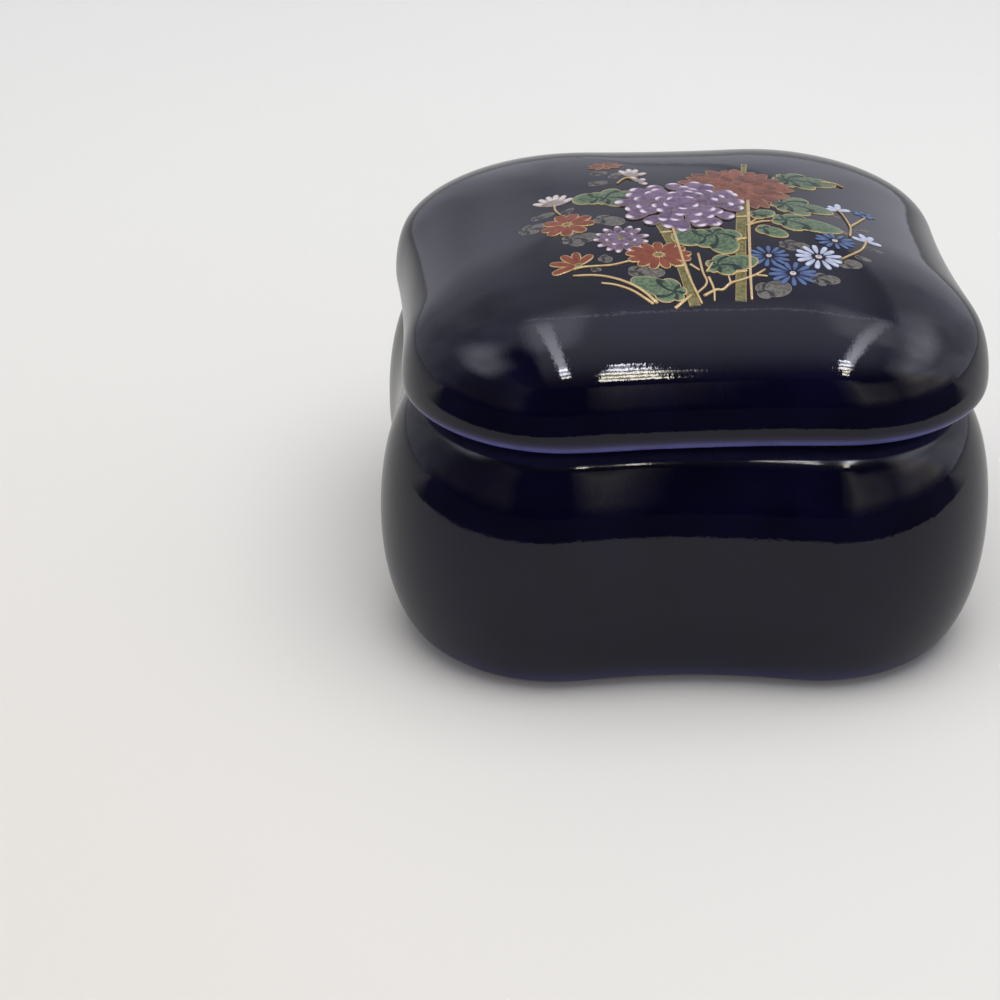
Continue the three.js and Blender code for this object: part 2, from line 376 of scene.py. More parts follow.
# %% [markdown]
# ## From rings to a piece
# Cast and glazed porcelain is never quite true: over a centimetre or two it waves by a few
# hundredths of a millimetre, which is enough to make its reflections live. The waves are a sum
# of sines of the place, so that lid and enamels can share them.

# %% Waves of the glaze
WAVE_HEIGHT = 0.022


def glaze_waves(x, y, z):
    """How far the surface stands out, in mm: three products of slow sines of the place."""
    first = np.sin(x / 5.1 + 0.6) * np.sin(y / 6.3 + 1.9) * np.cos(z / 4.2)
    second = np.sin((x + y) / 4.4 + 2.2) * np.cos((y - z) / 7.3)
    third = np.sin((x - 2 * y) / 9.7 + 0.3) * np.cos(z / 8.9 + 1.1)
    return WAVE_HEIGHT * (first + 0.7 * second + 0.9 * third)


def turned(points, angle):
    """Points turned about the upright axis."""
    x, y = points[..., 0], points[..., 1]
    cosine, sine = np.cos(angle), np.sin(angle)
    flat = np.stack([x * cosine - y * sine, x * sine + y * cosine], -1)
    return np.concatenate([flat, points[..., 2:]], -1)


# %% The mesh of a ring stack
def stack_faces(rows, columns, start=0):
    """Faces of a closed stack of rings: quads between the rings, and one face at each end."""
    row, column = np.meshgrid(np.arange(rows - 1), np.arange(columns), indexing="ij")
    beside = (column + 1) % columns
    corners = [row * columns + column, row * columns + beside,
               (row + 1) * columns + beside, (row + 1) * columns + column]
    quads = start + np.stack(corners, -1).reshape(-1, 4)
    ring = start + np.arange(columns)
    return quads.tolist() + [ring[::-1].tolist(), (ring + (rows - 1) * columns).tolist()]


def make_piece(name, points, faces, marks, material):
    """A smooth-shaded mesh object at the origin, with its place in its vertices, in metres. The
    marks become float attributes of the vertices, which the materials read."""
    mesh = bpy.data.meshes.new(name)
    mesh.from_pydata((points * MM).tolist(), [], faces)
    for mark, values in marks.items():
        attribute = mesh.attributes.new(mark, "FLOAT", "POINT")
        attribute.data.foreach_set("value", np.ascontiguousarray(values, dtype=np.float32))
    mesh.polygons.foreach_set("use_smooth", np.ones(len(mesh.polygons), dtype=bool))
    mesh.materials.append(material)
    mesh.update()
    piece = bpy.data.objects.new(name, mesh)
    bpy.context.scene.collection.objects.link(piece)
    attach(piece, "root")
    triangles = sum(len(face) - 2 for face in faces)
    print(name, "has", len(points), "points and", triangles, "triangles")
    return piece


def porcelain_piece(name, rows, turn, material):
    """A stack of rings as a piece, moved out along its own normals by the glaze's waves."""
    points = rows[..., :3]
    around = np.roll(points, -1, 1) - np.roll(points, 1, 1)
    normals = np.cross(around, np.gradient(points, axis=0))
    normals = normals / np.maximum(np.linalg.norm(normals, axis=-1, keepdims=True), 1e-9)
    wave = glaze_waves(points[..., 0], points[..., 1], points[..., 2])
    glazed = 1 - np.clip(rows[..., 3], 0, 1)
    points = turned(points + normals * (wave * glazed)[..., None], turn)
    faces = stack_faces(len(rows), AROUND)
    marks = {"bare": rows[..., 3].ravel(), "thin": rows[..., 4].ravel()}
    return make_piece(name, points.reshape(-1, 3), faces, marks, material)


# %% [markdown]
# ## Nodes for the finishes
# Three effects are used by more than one finish, so each is a node group: a fine pitting of the
# fired surface, the drawn edge of each enamel and the uneven brushing of a colour. A few small
# helpers keep the node code short.

# %% Helpers that add nodes
def add(tree, kind, inputs=None, **settings):
    """A new node with its settings; an input is given a value, or a link where it is a socket."""
    made = tree.nodes.new(kind)
    for name, value in settings.items():
        setattr(made, name, value)
    for name, value in (inputs or {}).items():
        if isinstance(value, bpy.types.NodeSocket):
            tree.links.new(value, made.inputs[name])
        else:
            made.inputs[name].default_value = value
    return made


def maths(tree, operation, *values):
    """The result of a Math node."""
    return add(tree, "ShaderNodeMath", dict(enumerate(values)), operation=operation).outputs[0]


def product(tree, *values):
    """All values multiplied."""
    return reduce(lambda one, other: maths(tree, "MULTIPLY", one, other), values)


def total(tree, *values):
    """All values added."""
    return reduce(lambda one, other: maths(tree, "ADD", one, other), values)


def linear(tree, value, factor, offset=0.0):
    """factor times the value, plus the offset."""
    return maths(tree, "MULTIPLY_ADD", value, factor, offset)


def between(tree, share, first, second):
    """Two values mixed by a share."""
    return add(tree, "ShaderNodeMix", {0: share, 2: first, 3: second}).outputs[0]


def ramp(tree, value, low, high, low_result=0.0, high_result=1.0):
    """A smooth step: low_result below low, high_result above high."""
    inputs = {"Value": value, "From Min": low, "From Max": high, "To Min": low_result, "To Max": high_result}
    return add(tree, "ShaderNodeMapRange", inputs, interpolation_type="SMOOTHSTEP").outputs[0]


def blend(tree, share, first, second):
    """Two colours mixed by a share."""
    made = add(tree, "ShaderNodeMix", {0: share, 6: first, 7: second}, data_type="RGBA")
    return made.outputs[2]


# %% Helpers for textures and marks
def noise(tree, place, scale, detail=2.0):
    """A noise value between 0 and 1."""
    inputs = {"Vector": place, "Scale": scale, "Detail": detail, "Roughness": 0.5}
    return add(tree, "ShaderNodeTexNoise", inputs).outputs[0]


def place_of(tree):
    """The place on the piece, in metres."""
    return add(tree, "ShaderNodeTexCoord").outputs["Object"]


def wander(tree, scale, width, detail=2.0):
    """A noise value about 0 that strays by half the width to each side."""
    return linear(tree, noise(tree, place_of(tree), scale, detail), width, -width / 2)


def mark_of(tree, name):
    """A vertex mark of the piece."""
    return add(tree, "ShaderNodeAttribute", attribute_name=name).outputs["Fac"]


# %% Helpers for groups and materials
def new_group(name, inputs, outputs):
    """An empty node group with named sockets; returns its tree and its two end nodes."""
    tree = bpy.data.node_groups.new(name, "ShaderNodeTree")
    for label, kind, value in inputs:
        socket = tree.interface.new_socket(label, in_out="INPUT", socket_type=kind)
        socket.default_value = value
    for label, kind in outputs:
        tree.interface.new_socket(label, in_out="OUTPUT", socket_type=kind)
    return tree, tree.nodes.new("NodeGroupInput"), tree.nodes.new("NodeGroupOutput")


def use(tree, group, **inputs):
    """A group placed in a material. Underscores in the names of inputs stand for spaces."""
    values = {name.replace("_", " "): value for name, value in inputs.items()}
    return add(tree, "ShaderNodeGroup", values, node_tree=group)


def new_material(name):
    """An empty material with a Principled shader wired to its output."""
    material = bpy.data.materials.new(name)
    material.use_nodes = True
    tree = material.node_tree
    return material, tree, tree.nodes["Principled BSDF"]


def wire_up(tree, shader, colour, roughness, height, relief):
    """Colour, roughness and a bump as deep as height times relief, wired to the shader."""
    bump = add(tree, "ShaderNodeBump", {"Height": height, "Distance": relief, "Strength": 1.0})
    wires = {"Base Color": colour, "Roughness": roughness, "Normal": bump.outputs[0]}
    for name, value in wires.items():
        tree.links.new(value, shader.inputs[name])


# %% [markdown]
# ### Pitting, drawn edges and brushing
# A glaze is never a perfect mirror: it has tiny pits a third of a millimetre apart, which break
# a small bright reflection into sparks.

# %% The shared node groups
FLOAT, COLOUR = "NodeSocketFloat", "NodeSocketColor"
PIT_SCALE = 2600.0
ROLL_SCALE = 420.0
ROLL_SHARE = 2.5
EDGE_SOFT = 0.05


def make_pitting():
    """Height as a bare number: fine pits, and a slower and higher roll six times wider."""
    tree, start, end = new_group("fired_pitting", [("Depth", FLOAT, 1.0)], [("Height", FLOAT)])
    place = place_of(tree)
    pits = noise(tree, place, PIT_SCALE, 1.0)
    roll = noise(tree, place, ROLL_SCALE, 1.0)
    both = total(tree, pits, linear(tree, roll, ROLL_SHARE))
    tree.links.new(product(tree, both, start.outputs["Depth"]), end.inputs["Height"])
    return tree


def make_gold_edge():
    """1 where the edge mark, in mm, is below an unevenly drawn width."""
    inputs = [("Width", FLOAT, 0.16), ("Unevenness", FLOAT, 0.4)]
    tree, start, end = new_group("drawn_gold_edge", inputs, [("Mask", FLOAT)])
    stray = product(tree, wander(tree, 900.0, 2.0), start.outputs["Unevenness"])
    width = product(tree, start.outputs["Width"], total(tree, stray, 1.0))
    inwards = maths(tree, "SUBTRACT", mark_of(tree, "edge"), width)
    tree.links.new(ramp(tree, inwards, -EDGE_SOFT / 2, EDGE_SOFT / 2, 1.0, 0.0), end.inputs["Mask"])
    return tree


def make_brushing():
    """A colour between two that varies with each stroke's own tone and with a cloudy noise."""
    inputs = [("Dark", COLOUR, (0.1, 0.1, 0.1, 1)), ("Light", COLOUR, (0.2, 0.2, 0.2, 1)),
              ("Cloud", FLOAT, 900.0), ("Tone Share", FLOAT, 0.5)]
    tree, start, end = new_group("brushed_colour", inputs, [("Color", COLOUR)])
    cloud = ramp(tree, noise(tree, place_of(tree), start.outputs["Cloud"], 3.0), 0.36, 0.64)
    share = between(tree, start.outputs["Tone Share"], cloud, mark_of(tree, "tone"))
    colour = blend(tree, share, start.outputs["Dark"], start.outputs["Light"])
    tree.links.new(colour, end.inputs["Color"])
    return tree


PITTING, GOLD_EDGE, BRUSHING = make_pitting(), make_gold_edge(), make_brushing()
print("node groups:", [group.name for group in (PITTING, GOLD_EDGE, BRUSHING)])

# %% [markdown]
# ## The cobalt glaze
# Cobalt glaze is glass coloured so deeply that it looks black where nothing bright is mirrored
# in it, and shows its violet-blue only where it has run thin over an edge, above the rim and the
# foot. The wiped rings show bare white porcelain, with an uneven border.

# %% Glaze material
GLAZE_DEEP = (0.0014, 0.0012, 0.0085, 1)
GLAZE_CLOUD = (0.0024, 0.0022, 0.0145, 1)
GLAZE_THIN = (0.20, 0.20, 0.62, 1)
BARE_PORCELAIN = (0.66, 0.62, 0.56, 1)
BARE_SHADED = (0.52, 0.47, 0.41, 1)
GLAZE_ROUGHNESS = 0.035
SMEAR_ROUGHNESS = 0.03
BARE_ROUGHNESS = 0.7
BARE_GRAIN = 14.0
GLAZE_RELIEF = 3.6e-6


def cobalt_glaze():
    """Glass-like and dark, with thin edges, bare rings and fine pits."""
    material, tree, shader = new_material("cobalt_glaze")
    place = place_of(tree)
    cloud = ramp(tree, noise(tree, place, 160.0, 3.0), 0.35, 0.7)
    colour = blend(tree, cloud, GLAZE_DEEP, GLAZE_CLOUD)
    patches = ramp(tree, noise(tree, place, 300.0), 0.2, 0.7, 0.7, 1.0)
    colour = blend(tree, product(tree, mark_of(tree, "thin"), patches), colour, GLAZE_THIN)
    bare = ramp(tree, total(tree, mark_of(tree, "bare"), wander(tree, 700.0, 0.5, 3.0)), 0.42, 0.58)
    paste = blend(tree, noise(tree, place, 500.0, 4.0), BARE_PORCELAIN, BARE_SHADED)
    colour = blend(tree, bare, colour, paste)
    smear = ramp(tree, noise(tree, place, 60.0, 4.0), 0.45, 0.75, 0.0, SMEAR_ROUGHNESS)
    roughness = total(tree, linear(tree, mark_of(tree, "bare"), BARE_ROUGHNESS, GLAZE_ROUGHNESS), smear)
    grain = product(tree, noise(tree, place, 3000.0, 3.0), bare, BARE_GRAIN)
    height = total(tree, use(tree, PITTING, Depth=1.0).outputs["Height"], grain)
    wire_up(tree, shader, colour, roughness, height, GLAZE_RELIEF)
    shader.inputs["IOR"].default_value = 1.5
    return material


glaze = cobalt_glaze()
base = porcelain_piece("glazed_base", base_rows, 0.0, glaze)
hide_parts("box_base")
lid = porcelain_piece("glazed_lid", lid_rows, LID_TURN, glaze)
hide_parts("lid")

# %% [markdown]
# ## Laying enamel on the crown
# The spray is painted over the fired glaze in thick enamels, many with a drawn outline, so every
# petal and leaf stands about a tenth of a millimetre proud. Such shapes are made here as
# low closed cushions. Their places are given flat, in millimetres from the middle of the lid
# with y away from the front, and are then lifted onto the crown and turned with the lid.

# %% The crown's height
PLAN_ANGLES = np.unwrap(np.arctan2(LID_PLAN[0][:, 1], LID_PLAN[0][:, 0]))
PLAN_RADII = np.hypot(LID_PLAN[0][:, 0], LID_PLAN[0][:, 1])


def crown_height(x, y):
    """belly + rise (1 - s^m)^(1/m), where s is the distance from the middle as a share of the
    plan's radius in that direction, plus the waves of the glaze."""
    radius = np.interp(np.arctan2(y, x), PLAN_ANGLES, PLAN_RADII, period=2 * np.pi)
    share = np.minimum(np.hypot(x, y) / radius, 0.999)
    height = (1 - share**CROWN_ROUNDNESS) ** (1 / CROWN_ROUNDNESS)
    z = LID_BELLY + CROWN_RISE * height
    return z + glaze_waves(x, y, z)


# %% Brush strokes
SINK = 0.06
rng = np.random.default_rng(5)
ACROSS = np.array([-1.0, -0.72, -0.3, 0.3, 0.72, 1.0, 1.0, -1.0])
ON_TOP = np.array([1.0, 1, 1, 1, 1, 1, 0, 0])


def strokes(spines, half_widths, lift, dome=0.035, tone=None):
    """Brush strokes as closed cushions. spines is (strokes, stations, 2) and half_widths
    (strokes, stations). Across a stroke the height is lift + dome (1 - a^2), with a from -1 to
    1, and the underside lies SINK below the glaze. The marks are: along, from 0 to 1; across;
    edge, the distance to the edge in mm; and tone, one chance value for each stroke."""
    spines, half_widths = np.asarray(spines, float), np.asarray(half_widths, float)
    count, stations = half_widths.shape
    heading = np.gradient(spines, axis=1)
    heading = heading / np.maximum(np.linalg.norm(heading, axis=-1, keepdims=True), 1e-9)
    side = np.stack([heading[..., 1], -heading[..., 0]], -1)
    offset = half_widths[:, :, None, None] * ACROSS[:, None] * side[:, :, None, :]
    flat = spines[:, :, None, :] + offset
    lift = np.broadcast_to(np.reshape(lift, (-1, 1, 1)), (count, stations, len(ACROSS)))
    fullness = np.minimum(half_widths / np.maximum(half_widths.max(1, keepdims=True), 1e-9), 1)
    rise = lift + dome * (1 - ACROSS**2) * fullness[:, :, None]
    height = np.where(ON_TOP > 0, rise, -SINK)
    points = np.concatenate([flat, height[..., None]], -1)
    tone = rng.random(count) if tone is None else np.broadcast_to(tone, (count,))
    whole = np.ones((count, stations, len(ACROSS)))
    marks = {
        "along": whole * np.linspace(0, 1, stations)[None, :, None],
        "across": whole * ACROSS,
        "edge": half_widths[:, :, None] * (1 - np.abs(ACROSS)),
        "tone": whole * tone[:, None, None],
    }
    size = stations * len(ACROSS)
    faces = [face for index in range(count) for face in stack_faces(stations, len(ACROSS), index * size)]
    return points.reshape(-1, 3), faces, {name: value.ravel() for name, value in marks.items()}


# %% Leaves
def leaf(centre, length, width, turn, lobes=5, notch=0.14, point=0.0, root=0.5, curl=0.7,
         lift=0.03, dome=0.05, around=80):
    """One lobed leaf, or with its root at 0 a flower's heart, as a closed cushion. Its outline
    is an ellipse told by its radius about the root, which lies at that share of the half length
    behind the middle. The radius is multiplied by 1 - notch (1 - |cos(lobes a / 2)|^0.7), which
    cuts notches between round lobes, and by 1 + point at the tip. Veins run in from the notches
    and turn by the curl on their way. The edge mark is the distance in from the outline and the
    across mark the distance from the nearest vein, both in mm."""
    angle = np.linspace(0, 2 * np.pi, around, endpoint=False)
    cosine, sine = np.cos(angle) / (length / 2), np.sin(angle) / (width / 2)
    square = cosine**2 + sine**2
    ellipse = (root * cosine + np.sqrt((root * cosine) ** 2 + square * (1 - root**2))) / square
    scallop = 1 - notch * (1 - np.abs(np.cos(lobes * angle / 2)) ** 0.7)
    wrapped = (angle + np.pi) % (2 * np.pi) - np.pi
    radius = ellipse * scallop * (1 + point * np.exp(-((wrapped / 0.3) ** 2)))
    shares = np.array([0.12, 1.0, 1.0, 0.93, 0.8, 0.62, 0.42, 0.22, 0.08])[:, None]
    x = shares * radius * np.cos(angle) - root * length / 2
    y = shares * radius * np.sin(angle)
    height = lift + dome * (1 - shares**2) * np.ones(around)
    height[:2] = -SINK
    flat = turned(np.stack([x, y, height], -1), turn) + np.array([*centre, 0.0])
    spacing = 2 * np.pi / lobes
    off_vein = np.abs((angle - curl * (1 - shares)) % spacing - spacing / 2)
    marks = {
        "along": shares * np.ones(around),
        "across": shares * radius * np.sin(np.minimum(off_vein, np.pi / 2)),
        "edge": (1 - shares) * radius,
        "tone": rng.random() * np.ones((len(shares), around)),
    }
    faces = stack_faces(len(shares), around)
    return flat.reshape(-1, 3), faces, {name: value.ravel() for name, value in marks.items()}


# %% Cushions laid on the lid
def enamel_piece(name, cushions, material):
    """Many cushions as one piece, lifted onto the crown and turned with the lid."""
    starts = np.cumsum([0] + [len(cushion[0]) for cushion in cushions])
    points = np.concatenate([cushion[0] for cushion in cushions])
    faces = [[int(start) + corner for corner in face]
             for start, cushion in zip(starts, cushions) for face in cushion[1]]
    marks = {mark: np.concatenate([cushion[2][mark] for cushion in cushions])
             for mark in ("along", "across", "edge", "tone")}
    height = crown_height(points[:, 0], points[:, 1]) + points[:, 2]
    points = turned(np.stack([points[:, 0], points[:, 1], height], -1), LID_TURN)
    piece = make_piece(name, points, faces, marks, material)
    return piece


# %% [markdown]
# ## Petals
# A single flower is a ring of petals about its heart. A full chrysanthemum is several such
# rings, each laid over the roots of the one outside it. Seen from its side a flower is a fan.

# %% Petals
PETAL_STEPS = 0.5 - 0.5 * np.cos(np.linspace(0, np.pi, 10))


def petal_widths(half_width, blunt):
    """Half widths along a petal: half_width t^0.55 (1 - t)^blunt, scaled to its largest value;
    a small bluntness gives a round tip and a large one a pointed tip."""
    shape = np.maximum(PETAL_STEPS, 0.02) ** 0.55 * np.maximum(1 - PETAL_STEPS, 0.003) ** blunt
    return half_width * shape / shape.max()


def petal_ring(centre, size, inner, outer, count, half_width, lift, turn=0.0, blunt=0.32, spread=0.035):
    """Petals from inner to outer, as shares of the flower's two half sizes, about its centre.
    Their angles and lengths stray by the spread."""
    angle = turn + 2 * np.pi * (np.arange(count) + 7 * spread * (rng.random(count) - 0.5)) / count
    reach = outer * (1 + 2 * spread * (rng.random(count) - 0.5))
    radius = inner + (reach[:, None] - inner) * PETAL_STEPS
    heading = angle[:, None] * np.ones(len(PETAL_STEPS))
    scale = np.asarray(size, float) / 2
    spines = radius[..., None] * np.stack([np.cos(heading), np.sin(heading)], -1) * scale
    lifts = lift + 0.004 * (np.arange(count) % 2)
    widths = petal_widths(half_width, blunt) * np.ones((count, 1))
    return strokes(spines + np.asarray(centre), widths, lifts)


# %% Blossoms, full heads, fans and lines
def blossom(centre, size, count, lift, turn=0.0, inner=0.2, blunt=0.32, fullness=0.86):
    """A single flower: one ring of petals, which touch at their widest for a fullness of 1."""
    half_width = fullness * np.pi * np.mean(size) / 2 * 0.72 / count
    return petal_ring(centre, size, inner, 1.0, count, half_width, lift, turn, blunt)


def full_head(centre, size, circles, lift, blunt, fullness=0.56, spread=0.07):
    """A full flower: circles are (inner, outer, count), from the outermost in. Each is laid
    a little off the middle, as a brush does."""
    heads = []
    for level, (inner, outer, count) in enumerate(circles):
        middle = 0.25 * inner + 0.75 * outer
        half_width = fullness * 2 * np.pi * middle * np.mean(size) / 2 / count
        off = np.asarray(centre) + 0.25 * (rng.random(2) - 0.5)
        heads.append(petal_ring(off, size, inner, outer, count, half_width,
                                lift + 0.016 * level, turn=0.7 * level, blunt=blunt, spread=spread))
    return heads


def fan(base, tips, half_width, lift, blunt=0.35):
    """A flower from its side: petals from one point to each of its tips."""
    base, tips = np.asarray(base, float), np.asarray(tips, float)
    spines = base + PETAL_STEPS[None, :, None] * (tips - base)[:, None, :]
    lifts = lift + 0.006 * np.arange(len(tips))
    return strokes(spines, petal_widths(half_width, blunt) * np.ones((len(tips), 1)), lifts)


def line(points, half_width, lift, stations=18, taper=0.6):
    """A drawn line through a few points, with round bends, a little thinner to its end. The
    points are joined by a curve whose speed at each is half the step between its neighbours."""
    points = np.asarray(points, float)
    speed = np.gradient(points, axis=0) if len(points) > 2 else np.diff(points, axis=0)[[0, 0]]
    where = np.linspace(0, len(points) - 1, stations)
    index = np.minimum(where.astype(int), len(points) - 2)
    t = (where - index)[:, None]
    start, stop = points[index], points[index + 1]
    step = stop - start
    bend = t * (1 - t) * ((1 - t) * (speed[index] - step) - t * (speed[index + 1] - step))
    spine = start + t * step + bend
    widths = half_width * np.linspace(1, taper, stations)
    return strokes(spine[None], widths[None], lift, dome=0.03)


# %% [markdown]
# ## The enamels
# Lilac petals pale to white at their tips, the small rust ones are drawn round in gold, and blue
# ones are left plain. The leaves are mottled green over darker veins, or a thin grey wash. The
# gold is real metal powder, fired on, and has a soft satin shine.

# %% Enamel and gold materials
GOLD = (0.60, 0.43, 0.21, 1)
WORN_GOLD = (0.70, 0.54, 0.31, 1)
ENAMEL_ROUGHNESS = 0.28
ENAMEL_RELIEF = 1.2e-6
ENAMEL_PITS = 3.0
GOLD_PITS = 5.0
VEIN_DEPTH = 22.0
EDGE_RISE = 16.0


def enamel(name, dark, light, cloud=1800.0, tone_share=0.5, tip=None, tip_from=0.6, edge=0.0,
           edge_colour=GOLD, edge_metal=0.5, vein=None, vein_width=0.12, halo=None):
    """A fired enamel: a brushed colour, with a pale halo inside its outline, tips, sunken veins
    and a raised drawn edge where they are given."""
    material, tree, shader = new_material(name)
    brushed = use(tree, BRUSHING, Dark=dark, Light=light, Cloud=cloud, Tone_Share=tone_share)
    colour = brushed.outputs["Color"]
    relief = use(tree, PITTING, Depth=ENAMEL_PITS).outputs["Height"]
    stray = wander(tree, 1300.0, 0.22)
    if halo:
        near = ramp(tree, mark_of(tree, "edge"), 0.25, 0.8, 0.75, 0.0)
        colour = blend(tree, near, colour, halo)
    if tip:
        off_middle = maths(tree, "ABSOLUTE", mark_of(tree, "across"))
        middle = ramp(tree, total(tree, off_middle, stray), 0.4, 0.8, 1.0, 0.15)
        along = ramp(tree, total(tree, mark_of(tree, "along"), stray), tip_from, tip_from + 0.16)
        colour = blend(tree, product(tree, along, middle), colour, tip)
    if vein:
        off_vein = total(tree, mark_of(tree, "across"), linear(tree, stray, 0.6))
        widening = total(tree, mark_of(tree, "along"), 0.3)
        near = maths(tree, "DIVIDE", off_vein, widening)
        groove = ramp(tree, near, vein_width * 0.5, vein_width, 1.0, 0.0)
        colour = blend(tree, groove, colour, vein)
        relief = total(tree, relief, linear(tree, groove, -VEIN_DEPTH))
    if edge > 0:
        mask = use(tree, GOLD_EDGE, Width=edge, Unevenness=0.5).outputs["Mask"]
        colour = blend(tree, mask, colour, edge_colour)
        relief = total(tree, relief, linear(tree, mask, EDGE_RISE))
        if edge_metal > 0:
            tree.links.new(product(tree, mask, edge_metal), shader.inputs["Metallic"])
    speckle = noise(tree, place_of(tree), 1500.0)
    rough = ramp(tree, speckle, 0.3, 0.7, ENAMEL_ROUGHNESS, ENAMEL_ROUGHNESS + 0.15)
    wire_up(tree, shader, colour, rough, relief, ENAMEL_RELIEF)
    return material


def gold_paint():
    """Fired gold: a satin metal with a slightly worn, uneven film."""
    material, tree, shader = new_material("fired_gold")
    worn = ramp(tree, noise(tree, place_of(tree), 1100.0, 3.0), 0.35, 0.75)
    rough = ramp(tree, noise(tree, place_of(tree), 1700.0), 0.3, 0.7, 0.3, 0.45)
    height = use(tree, PITTING, Depth=GOLD_PITS).outputs["Height"]
    wire_up(tree, shader, blend(tree, worn, GOLD, WORN_GOLD), rough, height, ENAMEL_RELIEF)
    shader.inputs["Metallic"].default_value = 0.5
    return material


# %% Each enamel's colours, dark and light, and what else it has
LILAC = enamel("lilac_enamel", (0.07, 0.042, 0.095, 1), (0.19, 0.125, 0.22, 1),
               tip=(0.66, 0.58, 0.70, 1), tip_from=0.64,
               edge=0.09, edge_colour=(0.22, 0.16, 0.15, 1), edge_metal=0.0)
RUST = enamel("rust_enamel", (0.14, 0.030, 0.014, 1), (0.22, 0.055, 0.028, 1), edge=0.12)
RUST_MUM = enamel("rust_head_enamel", (0.075, 0.022, 0.015, 1), (0.25, 0.085, 0.048, 1),
                  cloud=2400.0, tone_share=0.65,
                  edge=0.1, edge_colour=(0.33, 0.19, 0.12, 1), edge_metal=0.0)
BLUE = enamel("blue_enamel", (0.028, 0.048, 0.12, 1), (0.06, 0.10, 0.235, 1),
              tip=(0.075, 0.125, 0.27, 1), tip_from=0.3)
PALE = enamel("pale_enamel", (0.34, 0.38, 0.52, 1), (0.45, 0.49, 0.66, 1),
              tip=(0.50, 0.54, 0.70, 1), tip_from=0.5)
CREAM = enamel("cream_enamel", (0.20, 0.16, 0.16, 1), (0.34, 0.29, 0.29, 1),
               tip=(0.58, 0.52, 0.52, 1), tip_from=0.45)
GREEN = enamel("leaf_green_enamel", (0.026, 0.055, 0.036, 1), (0.13, 0.185, 0.11, 1),
               cloud=3000.0, tone_share=0.25, edge=0.13,
               vein=(0.006, 0.020, 0.016, 1), vein_width=0.3, halo=(0.12, 0.20, 0.11, 1))
GREY = enamel("leaf_grey_wash", (0.055, 0.052, 0.048, 1), (0.15, 0.14, 0.128, 1),
              cloud=3600.0, tone_share=0.2, vein=(0.016, 0.015, 0.018, 1), vein_width=0.24,
              edge=0.05, edge_colour=(0.24, 0.21, 0.18, 1), edge_metal=0.0)
OLIVE = enamel("stake_olive_enamel", (0.075, 0.07, 0.022, 1), (0.19, 0.17, 0.06, 1),
               cloud=2400.0, tone_share=0.2, edge=0.06)
GOLD_PAINT = gold_paint()
ENAMELS = (LILAC, RUST, RUST_MUM, BLUE, PALE, CREAM, GREEN, GREY, OLIVE, GOLD_PAINT)
print("enamels:", [material.name for material in ENAMELS])

# %% [markdown]
# ## The spray
# It grows upright from the front of the lid: two bamboo stakes, one full lilac chrysanthemum
# over a rust one, small asters to the left and right, leaves between them and gold stems and
# grasses at its foot. Each list below gives places and sizes in millimetres on the lid. The
# layers rise in small steps: grey leaves, stakes, green leaves, flowers, and gold on top.

# %% Grey leaves, thin and at the very back
GREY_LEAVES = [
    # centre, length, width, turn in degrees
    ((-8.6, 4.7), 2.2, 1.5, 5), ((-8.2, 7.9), 1.9, 1.6, 0), ((-6.6, 6.7), 2.0, 1.3, 60),
    ((-12.4, -1.9), 2.0, 1.1, 50), ((-15.0, -1.9), 2.7, 1.4, 12), ((-16.2, -4.6), 3.0, 2.7, 20),
    ((-8.4, -5.8), 3.6, 2.6, -35), ((-11.7, -9.2), 3.8, 3.4, 0), ((-9.5, -13.9), 1.5, 1.6, -40),
    ((-10.6, -15.6), 1.1, 1.0, -20), ((-5.7, -16.4), 3.9, 2.1, -5), ((9.9, -12.1), 3.2, 2.2, -5),
    ((6.7, -19.5), 3.8, 2.8, 8), ((12.1, -18.0), 3.2, 2.1, 0), ((15.2, -14.8), 2.6, 2.1, 8),
    ((15.3, -3.6), 1.9, 0.8, 8), ((15.5, -7.6), 1.8, 0.8, -35), ((18.0, -6.3), 2.2, 0.7, 38),
    ((16.8, -13.3), 1.8, 0.8, -15), ((18.4, -10.9), 1.9, 0.8, -10),
]
grey = [leaf(centre, length, width, np.radians(turn), lobes=3 + index % 2 * 2, notch=0.36,
             lift=0.012, dome=0.02)
        for index, (centre, length, width, turn) in enumerate(GREY_LEAVES)]
enamel_piece("spray_grey_leaves", grey, GREY)

# %% Two bamboo stakes, and the top of one of them behind the flowers
STAKES = [
    # half width, points
    (0.54, [(5.9, -2.4), (4.6, -11.0), (3.3, -21.0)]),
    (0.54, [(-3.4, -6.6), (-2.4, -12.2), (-1.3, -21.4)]),
    (0.3, [(7.9, 9.9), (7.3, 6.2)]),
]
stakes = [line(points, width, 0.035, stations=30, taper=1.0) for width, points in STAKES]
enamel_piece("spray_stakes", stakes, OLIVE)

# %% Green leaves
GREEN_LEAVES = [
    # centre, length, width, turn in degrees, lobes, point
    ((-9.9, 0.6), 3.6, 3.9, 170, 3, 0.0), ((-7.0, 0.1), 4.8, 5.2, 10, 5, 0.0),
    ((-4.3, -19.0), 5.2, 3.6, 155, 5, 0.2), ((13.4, 5.4), 6.4, 4.6, 12, 7, 0.2),
    ((11.8, -2.3), 6.0, 5.2, -6, 7, 0.2), ((11.4, -7.0), 6.4, 4.4, -12, 5, 0.25),
    ((7.5, -5.4), 3.0, 2.4, 30, 3, 0.1), ((7.9, -9.4), 3.4, 2.5, -30, 3, 0.1),
    ((-0.2, -10.5), 4.6, 4.2, 175, 3, 0.0), ((2.4, -11.2), 5.4, 5.2, -70, 5, 0.0),
    ((2.9, -15.5), 5.2, 3.6, 10, 5, 0.1),
]
green = [leaf(centre, length, width, np.radians(turn), lobes=lobes, notch=0.3, point=point,
              lift=0.05 + 0.006 * index, dome=0.05, around=84)
         for index, (centre, length, width, turn, lobes, point) in enumerate(GREEN_LEAVES)]
